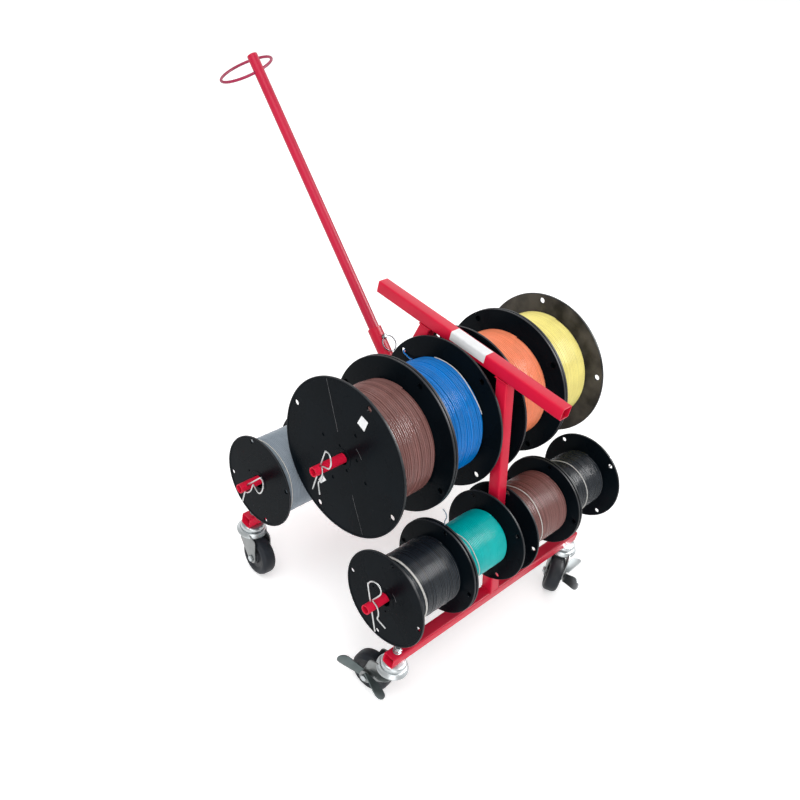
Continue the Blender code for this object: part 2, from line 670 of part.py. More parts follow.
def smooth_round_parts():
    """Shade round faces smooth and keep real edges sharp."""
    for part in parts.objects:
        if part.type == "MESH" and part.data.polygons:
            part.data.shade_smooth()
            part.data.set_sharp_from_angle(angle=math.radians(35))
        for step in part.modifiers:
            if step.type == "SCREW":
                step.use_smooth_shade = True


def centre_on_origin():
    """Shift the whole cart along Y so that the origin is under the middle of its box."""
    bpy.context.view_layer.update()
    graph = bpy.context.evaluated_depsgraph_get()
    reach = []
    for part in parts.objects:
        if part.type != "EMPTY":
            solid = part.evaluated_get(graph)
            mesh = solid.to_mesh()
            reach += [(part.matrix_world @ spot.co).y for spot in mesh.vertices]
            solid.to_mesh_clear()
    origin.location = (0, -round((max(reach) + min(reach)) / 2, 4), 0)
    bpy.context.view_layer.update()
    print("cart shifted along Y by", round(origin.location.y / MM, 1), "mm")


clear_scene()
materials = make_materials()
origin = bpy.data.objects.new("cart_origin", None)
parts.objects.link(origin)
make_frame()
make_axles()
for spools, axle_y, axle_z in ((TOP_SPOOLS, 0, TOP_AXLE_Z), (FRONT_SPOOLS, -LOW_AXLE_Y, LOW_AXLE_Z),
                               (REAR_SPOOLS, LOW_AXLE_Y, LOW_AXLE_Z)):
    for spool_row in spools:
        make_spool(*spool_row, axle_y, axle_z)
for caster_row in CASTERS:
    make_caster(*caster_row)
make_handle()
smooth_round_parts()
centre_on_origin()
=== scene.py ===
"""Looks for the rolling wire-spool cart: red powder-coated tube, black spools, wound wire, zinc casters.

X runs along the axles, +Y points to the handle end, +Z is up, and the floor is at Z = 0.
"""
import math

import bmesh
import bpy
from mathutils import Matrix, Vector


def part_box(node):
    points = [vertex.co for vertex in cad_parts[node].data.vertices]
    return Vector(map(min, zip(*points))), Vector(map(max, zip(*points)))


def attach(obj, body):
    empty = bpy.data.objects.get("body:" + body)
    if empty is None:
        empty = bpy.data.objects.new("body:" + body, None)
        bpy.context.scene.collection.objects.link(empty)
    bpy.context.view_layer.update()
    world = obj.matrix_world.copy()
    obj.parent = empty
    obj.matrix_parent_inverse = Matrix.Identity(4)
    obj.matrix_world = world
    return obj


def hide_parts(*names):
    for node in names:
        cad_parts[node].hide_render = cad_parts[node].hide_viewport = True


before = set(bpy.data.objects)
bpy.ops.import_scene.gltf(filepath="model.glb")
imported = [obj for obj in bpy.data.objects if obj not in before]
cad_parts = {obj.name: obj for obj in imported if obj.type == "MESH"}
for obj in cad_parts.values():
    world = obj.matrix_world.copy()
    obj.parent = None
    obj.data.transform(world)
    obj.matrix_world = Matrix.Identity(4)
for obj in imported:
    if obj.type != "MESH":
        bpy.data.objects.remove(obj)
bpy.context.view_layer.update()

MM = 0.001
X, Y, Z = Vector((1, 0, 0)), Vector((0, 1, 0)), Vector((0, 0, 1))


def centre_of(node):
    """Middle of a CAD node's box."""
    low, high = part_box(node)
    return (low + high) / 2


# ---------------------------------------------------------------- sizes, the same as the solids

CART_SHIFT = centre_of("top_bar").y           # the cart's own middle along Y
RAIL_LOW, RAIL_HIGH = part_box("front_rail")
BAR_LOW, BAR_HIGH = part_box("top_bar")
TUBE = RAIL_HIGH.z - RAIL_LOW.z
TUBE_WALL = 1.5 * MM
TUBE_CORNER = 2.6 * MM
RAIL_TOP = RAIL_HIGH.z
BAR_BOTTOM = BAR_LOW.z
LEG_FOOT_Y = 187.8 * MM
LEG_HEAD_Y = 84.9 * MM
TOP_AXLE_Z = centre_of("top_axle").z
AXLE_RADIUS = 8 * MM
AXLE_WALL = 1.6 * MM
AXLE_HOLE = AXLE_RADIUS + 0.35 * MM
THROUGH = 60 * MM                             # length of a cutter that goes right through a tube
GAP = 0.3 * MM                                # left between pieces that rest on each other
CLIP_X = 295 * MM
CLIP_WIRE = 1.3 * MM

HANDLE_FOOT = Vector((0, 131.0 * MM + CART_SHIFT, 380.2 * MM))
HANDLE_HEAD = Vector((0, 604.8 * MM + CART_SHIFT, 772.5 * MM))
HANDLE_DIRECTION = (HANDLE_HEAD - HANDLE_FOOT).normalized()
HANDLE_UP = Vector((0, -HANDLE_DIRECTION.z, HANDLE_DIRECTION.y))
HANDLE_RADIUS = 9.5 * MM
SOCKET_RADIUS = 12.7 * MM
SOCKET_LENGTH = 89 * MM
LOCK_PIN_AT = 67.4 * MM
RING_RADIUS = 49.5 * MM
RING_ROD = 2.6 * MM
RING_THROUGH = HANDLE_HEAD - HANDLE_DIRECTION * 29.7 * MM
RING_TURN = (13.2, 19.3, 27.4)                # degrees of yaw, tilt and roll

CASTER_X = 236.5 * MM
RAIL_Y = 187.8 * MM
WHEEL_RADIUS = 36.5 * MM
TRAIL = 32.5 * MM
FORK_PLATE_AT = 15.5 * MM                     # inner face of a side plate, from the wheel's middle
FORK_PLATE_THICK = 2.6 * MM
# Name, side along X, side along Y, heading of the trail in degrees from +X, whether it has a brake pedal
CASTERS = [("front_left", -1, -1, 98, True), ("front_right", 1, -1, 210, True),
           ("rear_left", -1, 1, 266, False), ("rear_right", 1, 1, 250, False)]
# Pedal tongues: name, root and tip as (along, up, across) in millimetres from the hub, width, roll in degrees
WINGS = [("front", (9.6, 5, 21), (45.6, 31.5, 44.3), 24, -14),
         ("back", (-5.5, 9.9, 21), (-50.2, 8.1, 41.4), 21, -69)]


# ---------------------------------------------------------------- materials

def new_node(nodes, kind, **values):
    """Shader node with its sockets set; a socket's name has _ for each space."""
    node = nodes.new("ShaderNode" + kind)
    for socket, value in values.items():
        node.inputs[socket.replace("_", " ")].default_value = value
    return node


def surface(name, colour, roughness, metallic=0.0, specular=0.5, mottle=0.0, mottle_size=60.0,
            grain=0.0, grain_size=900.0, rough_range=0.06, turn_shade=0.0):
    """A procedural finish: mottled colour, uneven roughness, a fine grain, and lighter and darker turns of wire, which
    are painted shade and highlight.
    """
    material = bpy.data.materials.new(name)
    material.use_nodes = True
    nodes, links = material.node_tree.nodes, material.node_tree.links
    shader = nodes["Principled BSDF"]
    shader.inputs["Metallic"].default_value = metallic
    shader.inputs["Specular IOR Level"].default_value = specular
    place = nodes.new("ShaderNodeTexCoord")
    cloud = new_node(nodes, "TexNoise", Scale=mottle_size, Detail=5)
    links.new(place.outputs["Object"], cloud.inputs["Vector"])
    shades = nodes.new("ShaderNodeValToRGB")
    for stop, position, gain in zip(shades.color_ramp.elements, (0.32, 0.62), (1 - mottle, 1 + mottle)):
        stop.position = position
        stop.color = (*(min(1.0, c * gain) for c in colour), 1)
    links.new(cloud.outputs["Fac"], shades.inputs["Fac"])
    tint = shades.outputs["Color"]
    # Lighter and darker turns along X: painted shade between loose turns and painted highlight on them.
    if turn_shade:
        split = nodes.new("ShaderNodeSeparateXYZ")
        links.new(place.outputs["Object"], split.inputs["Vector"])
        turns = new_node(nodes, "TexNoise", Scale=210, Detail=4)
        turns.noise_dimensions = "1D"
        links.new(split.outputs["X"], turns.inputs["W"])
        span = new_node(nodes, "MapRange", From_Min=0.32, From_Max=0.68, To_Min=1 - 2 * turn_shade, To_Max=1 + turn_shade)
        links.new(turns.outputs["Fac"], span.inputs["Value"])
        scale = nodes.new("ShaderNodeVectorMath")
        scale.operation = "SCALE"
        links.new(tint, scale.inputs["Vector"])
        links.new(span.outputs["Result"], scale.inputs["Scale"])
        tint = scale.outputs["Vector"]
    links.new(tint, shader.inputs["Base Color"])
    spread = new_node(nodes, "MapRange", To_Min=max(0.02, roughness - rough_range),
                      To_Max=min(1.0, roughness + rough_range))
    links.new(cloud.outputs["Fac"], spread.inputs["Value"])
    links.new(spread.outputs["Result"], shader.inputs["Roughness"])
    if grain:
        fine = new_node(nodes, "TexNoise", Scale=grain_size, Detail=3)
        links.new(place.outputs["Object"], fine.inputs["Vector"])
        bump = new_node(nodes, "Bump", Strength=grain, Distance=0.2 * MM)
        links.new(fine.outputs["Fac"], bump.inputs["Height"])
        links.new(bump.outputs["Normal"], shader.inputs["Normal"])
    return material


RED = surface("powder_coat_red", (0.67, 0.009, 0.042), 0.36, specular=0.22, mottle=0.05, mottle_size=25, grain=0.14,
              grain_size=520, rough_range=0.05)
# Darker copies of the same powder coat for the handle pole and the hoop: painted shade.
POLE_RED_SHADED = surface("handle_red_painted_shade", (0.54, 0.011, 0.048), 0.36, specular=0.24, mottle=0.05, mottle_size=25, grain=0.14,
                   grain_size=520, rough_range=0.05)
HOOP_RED_SHADED = surface("hoop_red_painted_shade", (0.36, 0.022, 0.075), 0.42, specular=0.3, mottle=0.14, mottle_size=60, grain=0.1,
                   grain_size=520, rough_range=0.06)
ZINC = surface("zinc_plate", (0.50, 0.53, 0.54), 0.33, metallic=1.0, mottle=0.07, mottle_size=45, grain=0.02,
               grain_size=650, rough_range=0.06)
DULL_ZINC = surface("dull_zinc_plate", (0.24, 0.25, 0.25), 0.36, metallic=0.95, mottle=0.10, mottle_size=60,
                    grain=0.08, grain_size=650, rough_range=0.08)
# Darker copy of the pedal steel for the front left pedal: painted shade.
PEDAL_STEEL_SHADED = surface("pedal_steel_painted_shade", (0.105, 0.130, 0.130), 0.34, metallic=0.8, mottle=0.12, mottle_size=60,
                     grain=0.08, grain_size=650, rough_range=0.08)
RING_STEEL = surface("split_ring_steel", (0.13, 0.135, 0.15), 0.38, metallic=1.0, mottle=0.10, mottle_size=120,
                     rough_range=0.08)
STEEL_WIRE = surface("spring_steel", (0.52, 0.53, 0.53), 0.30, metallic=1.0, mottle=0.10, mottle_size=120,
                     rough_range=0.08)
BLACK_PLASTIC = surface("spool_black_plastic", (0.0024, 0.0044, 0.0064), 0.28, specular=0.035, mottle=0.18,
                        mottle_size=14, grain=0.06, grain_size=700, rough_range=0.08)
# Flange rims lighter and mottled: a painted highlight on the round edge.
RIM_HIGHLIGHT_PLASTIC = surface("spool_rim_painted_highlight", (0.017, 0.019, 0.022), 0.42, specular=0.22, mottle=0.5, mottle_size=26,
                      grain=0.12, grain_size=500, rough_range=0.1)
# Brownish inner face of the yellow spool's far flange: painted light bounced off the yellow wire.
YELLOW_BOUNCE_PLASTIC = surface("spool_painted_yellow_bounce", (0.046, 0.041, 0.035), 0.5, specular=0.2, mottle=0.6, mottle_size=30,
                        grain=0.1, grain_size=600, rough_range=0.1)
# Pale lines on the flange faces: moulding seams, and arcs by the hub that are painted highlights.
SEAM_AND_HIGHLIGHT = surface("spool_seam_and_painted_highlight", (0.10, 0.10, 0.105), 0.5, mottle=0.3, mottle_size=90)
RUBBER = surface("wheel_rubber", (0.013, 0.016, 0.021), 0.46, specular=0.24, mottle=0.18, mottle_size=40, grain=0.2,
                 grain_size=420, rough_range=0.08)
HUB_PLASTIC = surface("wheel_hub_plastic", (0.022, 0.024, 0.028), 0.42, specular=0.3, mottle=0.2, mottle_size=70,
                      grain=0.1)
PAPER = surface("blank_sticker", (0.80, 0.81, 0.82), 0.45, mottle=0.03, mottle_size=90, grain=0.08)
STRING = surface("white_tie", (0.66, 0.65, 0.62), 0.6, mottle=0.08, mottle_size=200, grain=0.3, grain_size=1500)

WIRE_COLOURS = {"brown": (0.225, 0.100, 0.090), "blue": (0.001, 0.19, 0.60), "orange": (0.95, 0.28, 0.135),
                "yellow": (0.96, 0.84, 0.27), "black": (0.010, 0.015, 0.022), "green": (0.0, 0.49, 0.48),
                "grey": (0.26, 0.31, 0.36), "white": (0.76, 0.76, 0.73), "red": (0.58, 0.02, 0.025)}
STRANDED = ("brown", "blue", "black")          # wound so loosely that single turns show; their lighter and darker turns are strong painted shade and highlight
WIRES = {name: surface("insulation_" + name, colour, 0.17, specular=0.45 if name == "black" else 0.32, mottle=0.06,
                       mottle_size=30, rough_range=0.04, turn_shade=0.14 if name in STRANDED else 0.035)
         for name, colour in WIRE_COLOURS.items()}


# ---------------------------------------------------------------- shape helpers

def mm(pairs, level=0.0):
    """(radius, height) points in metres from pairs in millimetres, with heights from a level in metres."""
    return [(a * MM, level + b * MM) for a, b in pairs]


def mirrored(pairs):
    """A half profile followed by its mirror image, from the other end."""
    return pairs + [(r, -h) for r, h in reversed(pairs)]


def about_axle(centre, radius, degrees):
    """Point round an axle: radius in millimetres, degrees from straight up towards -Y."""
    turn = math.radians(degrees)
    return centre + (Z * math.cos(turn) - Y * math.sin(turn)) * radius * MM


def add(name, mesh, finish, body, location=None, turn=None, smooth=35):
    """Put a mesh in the scene as a piece that rides on a CAD body."""
    piece = bpy.data.objects.new(name, mesh)
    bpy.context.scene.collection.objects.link(piece)
    if turn is not None:
        mesh.transform(turn)
    if location is not None:
        mesh.transform(Matrix.Translation(location))
    mesh.materials.append(finish)
    if smooth:
        mesh.shade_smooth()
        mesh.set_sharp_from_angle(angle=math.radians(smooth))
    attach(piece, body)
    return piece


def turn_to(direction, side=Z):
    """Rotation that takes local Z to a direction and local X as near as it can to side."""
    z_axis = Vector(direction).normalized()
    x_axis = side - z_axis * side.dot(z_axis)
    x_axis = x_axis.normalized() if x_axis.length > 1e-6 else z_axis.orthogonal().normalized()
    return Matrix((x_axis, z_axis.cross(x_axis), z_axis)).transposed().to_4x4()


def mesh_from(name, points, faces):
    mesh = bpy.data.meshes.new(name)
    mesh.from_pydata([tuple(p) for p in points], [], faces)
    shape = bmesh.new()
    shape.from_mesh(mesh)
    bmesh.ops.remove_doubles(shape, verts=shape.verts, dist=0.000002)
    bmesh.ops.recalc_face_normals(shape, faces=shape.faces)
    shape.to_mesh(mesh)
    shape.free()
    return mesh


def lathe(name, profile, steps, closed=True):
    """Turn (radius, height) points about Z. Points on the axis close the shape."""
    points, faces = [], []
    count = len(profile)
    for i in range(steps):
        angle = 2 * math.pi * i / steps
        points += [(r * math.cos(angle), r * math.sin(angle), h) for r, h in profile]
    for i in range(steps):
        here, there = i * count, (i + 1) % steps * count
        for j in range(count if closed else count - 1):
            k = (j + 1) % count
            ring = [here + j, there + j, there + k, here + k]
            if profile[j][0] == 0:
                ring = [here + j, there + k, here + k]
            if profile[k][0] == 0:
                ring = [here + j, there + j, here + k]
            if profile[j][0] or profile[k][0]:
                faces.append(ring)
    return mesh_from(name, points, faces)


def rounded_square(size, corner, steps=4):
    """Outline of a square with rounded corners, anticlockwise."""
    spots = []
    half = size / 2 - corner
    for quarter, (sx, sy) in enumerate(((1, 1), (-1, 1), (-1, -1), (1, -1))):
        for i in range(steps + 1):
            angle = math.pi / 2 * (quarter + i / steps)
            spots.append((sx * half + corner * math.cos(angle), sy * half + corner * math.sin(angle)))
    return spots


def square_tube(name, start, end, side, node, body="cart_frame", cut_start=None, cut_end=None):
    """A red square tube with rounded corners; its ends may be cut on a level plane."""
    run = (end - start).normalized()
    turn = turn_to(run, side)
    outer = rounded_square(TUBE, TUBE_CORNER)
    inner = rounded_square(TUBE - 2 * TUBE_WALL, max(TUBE_CORNER - TUBE_WALL, 0.5 * MM))
    rows = []
    for outline in (outer, inner):
        for spot, cut in ((start, cut_start), (end, cut_end)):
            ring = []
            for x, y in outline:
                point = spot + turn.to_3x3() @ Vector((x, y, 0))
                if cut is not None:
                    point += run * ((cut - point.z) / run.z)
                ring.append(point)
            rows.append(ring)
    count = len(outer)
    points = [p for ring in (rows[0], rows[1], rows[3], rows[2]) for p in ring]
    faces = []
    for i in range(4):
        here, there = i * count, (i + 1) % 4 * count
        for j in range(count):
            k = (j + 1) % count
            faces.append([here + j, here + k, there + k, there + j])
    piece = add(name, mesh_from(name, points, faces), RED, body)
    soften = piece.modifiers.new("edges", "BEVEL")
    soften.width = 0.35 * MM
    soften.segments = 2
    soften.limit_method = "ANGLE"
    soften.angle_limit = math.radians(50)
    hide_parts(node)
    return piece


def hole_tool(name, radius, length, point, direction, sides=24):
    """A plain rod that a Boolean uses as its cutter, removed once it has cut."""
    mesh = bpy.data.meshes.new(name)
    shape = bmesh.new()
    bmesh.ops.create_cone(shape, cap_ends=True, segments=sides, radius1=radius, radius2=radius, depth=length)
    shape.to_mesh(mesh)
    shape.free()
    mesh.transform(turn_to(direction))
    mesh.transform(Matrix.Translation(point))
    return mesh


def cut_holes(piece, tools):
    """Cut all the tools out of a piece and bake the result into its mesh."""
    merged = bpy.data.meshes.new(piece.name + "_tools")
    shape = bmesh.new()
    for tool in tools:
        shape.from_mesh(tool)
        bpy.data.meshes.remove(tool)
    shape.to_mesh(merged)
    shape.free()
    cutter = bpy.data.objects.new(piece.name + "_cutter", merged)
    bpy.context.scene.collection.objects.link(cutter)
    cut = piece.modifiers.new("holes", "BOOLEAN")
    cut.operation = "DIFFERENCE"
    cut.solver = "EXACT"
    cut.object = cutter
    bpy.context.view_layer.update()
    graph = bpy.context.evaluated_depsgraph_get()
    result = bpy.data.meshes.new_from_object(piece.evaluated_get(graph))
    piece.modifiers.clear()
    piece.data = result
    result.shade_smooth()
    result.set_sharp_from_angle(angle=math.radians(35))
    bpy.data.objects.remove(cutter, do_unlink=True)


def round_tube(name, start, end, radius, wall, node, steps=40, finish=RED):
    """Open round tube with softened mouths."""
    run = end - start
    half = run.length / 2
    soft = 0.35 * MM
    bore = radius - wall
    profile = [(radius - soft, half), (radius, half - soft), (radius, -half + soft), (radius - soft, -half),
               (bore + soft, -half), (bore, -half + soft), (bore, half - soft), (bore + soft, half)]
    piece = add(name, lathe(name, profile, steps), finish, "cart_frame", (start + end) / 2, turn_to(run))
    if node:
        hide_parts(node)
    return piece


def smooth_path(points, steps, cyclic=False):
    """Catmull-Rom line through the points."""
    count = len(points)
    spots = []
    for i in range(count if cyclic else count - 1):
        if cyclic:
            a, b, c, d = (points[(i + k - 1) % count] for k in range(4))
        else:
            b, c = points[i], points[i + 1]
            a = points[i - 1] if i else b + (b - c)
            d = points[i + 2] if i + 2 < count else c + (c - b)
        for j in range(steps):
            t = j / steps
            spots.append(0.5 * (2 * b + (c - a) * t + (2 * a - 5 * b + 4 * c - d) * t * t
                                + (3 * b - a - 3 * c + d) * t ** 3))
    return spots if cyclic else spots + [points[-1]]


def tube_mesh(name, path, radius, sides=10, cyclic=False, radii=None):
    """Round rod carried along a path without twisting, with rounded ends."""
    count = len(path)
    tangents = []
    for i in range(count):
        if cyclic:
            tangents.append((path[(i + 1) % count] - path[i - 1]).normalized())
        else:
            tangents.append((path[min(i + 1, count - 1)] - path[max(i - 1, 0)]).normalized())
    normal = tangents[0].orthogonal().normalized()
    normals = []
    for tangent in tangents:
        normal = (normal - tangent * normal.dot(tangent)).normalized()
        normals.append(normal)
    if cyclic:
        first = (normals[0] - tangents[0] * normals[0].dot(tangents[0])).normalized()
        last = (normals[-1] - tangents[0] * normals[-1].dot(tangents[0])).normalized()
        gap = math.atan2(last.cross(first).dot(tangents[0]), last.dot(first))
        normals = [Matrix.Rotation(gap * i / count, 3, t) @ n for i, (n, t) in enumerate(zip(normals, tangents))]
    rings = []
    for i in range(count):
        r = radius * (radii[i] if radii else 1)
        rings.append((path[i], tangents[i], normals[i], r))
    if not cyclic:
        p, t, n, r = rings[0]
        rings.insert(0, (p - t * r * 0.35, t, n, r * 0.72))
        p, t, n, r = rings[-1]
        rings.append((p + t * r * 0.35, t, n, r * 0.72))
    points = []
    for p, t, n, r in rings:
        across = t.cross(n)
        points += [p + (n * math.cos(2 * math.pi * k / sides) + across * math.sin(2 * math.pi * k / sides)) * r
                   for k in range(sides)]
    faces = []
    total = len(rings)
    for i in range(total if cyclic else total - 1):
        here, there = i * sides, (i + 1) % total * sides
        faces += [[here + k, here + (k + 1) % sides, there + (k + 1) % sides, there + k] for k in range(sides)]
    if not cyclic:
        faces += [list(range(sides - 1, -1, -1)), list(range((total - 1) * sides, total * sides))]
    mesh = bpy.data.meshes.new(name)
    mesh.from_pydata([tuple(p) for p in points], [], faces)
    return mesh


def rod(name, points, radius, finish, body, cyclic=False, sides=10, steps=6, radii=None):
    """A round wire or bead through points; steps above 1 smooth the line between them."""
    path = smooth_path([Vector(p) for p in points], steps, cyclic) if steps > 1 else [Vector(p) for p in points]
    return add(name, tube_mesh(name, path, radius, sides, cyclic, radii), finish, body, smooth=50)


# ---------------------------------------------------------------- frame

def weld_bead(name, points, radius=1.6 * MM, cyclic=True):
    """A rippled fillet weld along a closed path, under the powder coat."""
    rippled = []
    count = len(points)
    for i in range(count if cyclic else count - 1):
        here, there = Vector(points[i]), Vector(points[(i + 1) % count])
        steps = max(2, int((there - here).length / (1.6 * MM)))
        rippled += [here.lerp(there, j / steps) for j in range(steps)]
    return rod(name, rippled, radius, RED, "cart_frame", cyclic, 8, 1,
               [1 + 0.16 * math.sin(i * 2.1) for i in range(len(rippled))])


def leg_line(side):
    foot = Vector((0, side * LEG_FOOT_Y + CART_SHIFT, RAIL_TOP))
    head = Vector((0, side * LEG_HEAD_Y + CART_SHIFT, BAR_BOTTOM))
    return foot, head


def make_frame():
    for name, side in (("front", -1), ("rear", 1)):
        low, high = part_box(name + "_rail")
        middle = (low + high) / 2
        rail = square_tube(name + "_rail_tube", Vector((low.x, middle.y, middle.z)),
                           Vector((high.x, middle.y, middle.z)), Z, name + "_rail")
        foot, head = leg_line(side)
        leg = square_tube(name + "_leg_tube", foot, head, X, name + "_leg", cut_start=RAIL_TOP + GAP,
                          cut_end=BAR_BOTTOM - GAP)
        cut_holes(rail, [hole_tool("stem_hole", 5.4 * MM, THROUGH, Vector((s * CASTER_X, middle.y, middle.z)), Z)
                         for s in (-1, 1)])
        axle = centre_of(name + "_axle")
        cut_holes(leg, [hole_tool("axle_hole", AXLE_HOLE, THROUGH, axle, X)])
        half = TUBE / 2 + 0.6 * MM
        lean = TUBE / 2 / math.cos(math.atan2(LEG_FOOT_Y - LEG_HEAD_Y, BAR_BOTTOM - RAIL_TOP)) + 0.6 * MM
        for spot, z, label in ((foot, RAIL_TOP + 0.6 * MM, "foot"), (head, BAR_BOTTOM - 0.6 * MM, "head")):
            corners = [(-half, spot.y - lean, z), (half, spot.y - lean, z), (half, spot.y + lean, z),
                       (-half, spot.y + lean, z)]
            if label == "foot":
                reach = TUBE / 2 - 1.2 * MM
                corners = [(x, min(max(y, spot.y - reach), spot.y + reach), z) for x, y, z in corners]
            weld_bead(name + "_leg_weld_" + label, corners, 1.6 * MM if label == "foot" else 1.1 * MM)
        seam = AXLE_RADIUS + 0.5 * MM
        around = [axle + (Y * math.cos(a) + Z * math.sin(a)) * seam for a in [math.pi / 8 * i for i in range(16)]]
        for sign in (-1, 1):
            weld_bead(f"{name}_axle_weld_{'left' if sign < 0 else 'right'}",
                      [p + X * sign * (TUBE / 2 + GAP) for p in around], 1.3 * MM)
    low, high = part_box("top_bar")
    middle = (low + high) / 2
    square_tube("top_bar_tube", Vector((0, low.y, middle.z)), Vector((0, high.y, middle.z)), Z, "top_bar")
    low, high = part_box("axle_crossbar")
    cross = square_tube("axle_crossbar_tube", Vector((0, low.y + 2.9 * MM, TOP_AXLE_Z)),
                        Vector((0, high.y - 2.9 * MM, TOP_AXLE_Z)), Z, "axle_crossbar")
    middle = Vector((0, CART_SHIFT, TOP_AXLE_Z))
    cut_holes(cross, [hole_tool("cross_hole", AXLE_HOLE, THROUGH, middle, X)])


def make_sticker():
    """The blank label, folded over the top bar's near edge."""
    sticker = 75 * MM
    skin = 0.25 * MM
    middle_y = CART_SHIFT - 7 * MM
    top = BAR_HIGH.z + skin
    left = BAR_LOW.x - skin
    bend = TUBE_CORNER
    outline = [(left, BAR_LOW.z + 7 * MM), (left, top - bend)]
    outline += [(left + bend - bend * math.cos(a), top - bend + bend * math.sin(a))
                for a in [math.pi / 2 * i / 5 for i in range(1, 6)]]
    outline += [(BAR_HIGH.x - 3.2 * MM, top)]
    points, faces = [], []
    for depth in (0, skin * 0.8):
        for y in (-sticker / 2, sticker / 2):
            for i, (x, z) in enumerate(outline):
                inward_x = depth if i < 2 else depth * max(0.0, (bend - (x - left)) / bend)
                inward_z = depth if x > left + bend * 0.5 else 0
                points.append((x + inward_x, middle_y + y, z - inward_z))
    n = len(outline)
    for i in range(n - 1):
        faces += [[i, i + 1, n + i + 1, n + i], [2 * n + i, 3 * n + i, 3 * n + i + 1, 2 * n + i + 1]]
        faces += [[i, 2 * n + i, 2 * n + i + 1, i + 1], [n + i, n + i + 1, 3 * n + i + 1, 3 * n + i]]
    faces += [[0, n, 3 * n, 2 * n], [n - 1, 3 * n - 1, 4 * n - 1, 2 * n - 1]]
    add("blank_bar_sticker", mesh_from("sticker", points, faces), PAPER, "cart_frame", smooth=40)


def make_axles():
    leans = {"top": ((7.3, -5.7 * MM, -17.7), (-14, -4 * MM, 6)),
             "front": ((-25.1, -5.5 * MM, 7.9), (16, -4 * MM, -5)),
             "rear": ((36.1, 12 * MM, -22.6), (-10, -2 * MM, 8))}
    outline = [(0, -39), (0, 39), (1.5, 45), (5.5, 49.5), (12, 51.5), (19, 49), (23.5, 43), (24, 36), (20, 29.5),
               (5.2, 17.5), (6.5, 13.5), (11, 8), (12.8, 0), (11.8, -8), (9.4, -15), (22, -27)]
    for row, pair in leans.items():
        node = row + "_axle"
        low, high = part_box(node)
        middle = (low + high) / 2
        axle = round_tube(node + "_tube", Vector((low.x, middle.y, middle.z)), Vector((high.x, middle.y, middle.z)),
                          AXLE_RADIUS, AXLE_WALL, node)
        tools = []
        for sign, (lean, pull, twist) in zip((-1, 1), pair):
            angle = math.radians(lean)
            up = Vector((0, -math.sin(angle), math.cos(angle)))
            side = Matrix.Rotation(math.radians(twist), 3, up) @ Vector((0, -up.z, up.y))
            spot = Vector((sign * CLIP_X, middle.y, middle.z))
            tools.append(hole_tool("clip_hole", 2.1 * MM, 30 * MM, spot, up))
            points = []
            for u, v in outline:
                points.append(spot + side * (u * MM) + up * (v * MM + pull))
            name = row + "_clip_" + ("left" if sign < 0 else "right")
            clip = rod(name + "_wire", points, CLIP_WIRE, STEEL_WIRE, "cart_frame", False, 12, 7)
            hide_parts(name)
            if name == "top_clip_left":
                add_tag(spot)
        cut_holes(axle, tools)


def add_tag(spot):
    """Small blank tag hanging on the near clip of the top axle."""
    corners = [spot + Vector((-1.9, y, z)) * MM
               for y, z in ((-9.8, -1.0), (-19.9, -5.3), (-10.3, -19.0), (-4.7, -16.3))]
    tag = grid_patch("tag", corners, -X * 0.2 * MM, 5, 0.5 * MM)
    add("blank_tag", tag, PAPER, "cart_frame", smooth=40)


# ---------------------------------------------------------------- spools and wire

# First rim hole in degrees from straight up towards -Y, wire colour, winding radius and pitch in millimetres,
# and the pale ties laid over the winding, each as (x, degrees) points on it
SPOOLS = {
    "brown_large": dict(hole=14, wire="brown", radius=98, pitch=4.0),
    "blue_large": dict(hole=30.5, wire="blue", radius=99, pitch=4.0,
                       ties=[[(-33.1, -20), (-33.5, 7), (-35.9, 34), (-32.1, 56)]]),
    "orange_large": dict(hole=43, wire="orange", radius=99, pitch=4.0),
    "yellow_large": dict(hole=70.5, wire="yellow", radius=101, pitch=4.0),
    "black_front": dict(hole=88, wire="black", radius=57.5, pitch=3.0,
                        ties=[[(-236.4, -60), (-236.4, -35), (-236.1, 16), (-233.7, 51), (-231.6, 75), (-230.2, 110)],
                              [(-238.8, -60), (-238.6, -20), (-237.4, 25), (-235.0, 60), (-232.6, 90), (-231, 120)]]),
    "green_front": dict(hole=51, wire="green", radius=51, pitch=3.0,
                        ties=[[(-113, -50), (-112, -12), (-107.6, 17), (-105.3, 53), (-97.6, 90), (-96, 120)]]),
    "brown_front": dict(hole=84, wire="brown", radius=60, pitch=3.0,
                        ties=[[(52, -60), (53.1, -28), (55.8, 8), (54.2, 41), (56.7, 80), (60, 110)]]),
    "black_front_far": dict(hole=39, wire="black", radius=53, pitch=3.0,
                            ties=[[(188, -60), (190.7, -37), (196.5, -6), (198.3, 33), (200, 66), (201, 110)]]),
    "grey_rear": dict(hole=66, wire="grey", radius=69.5, pitch=3.0,
                      ties=[[(-249.6, -40), (-249.4, 16), (-249.2, 45), (-250.4, 71), (-250, 110)]]),
    "white_rear": dict(hole=50, wire="white", radius=60, pitch=3.0),
    "red_rear": dict(hole=5, wire="red", radius=60, pitch=3.0),
    "black_rear_far": dict(hole=66, wire="black", radius=60, pitch=3.0),
}


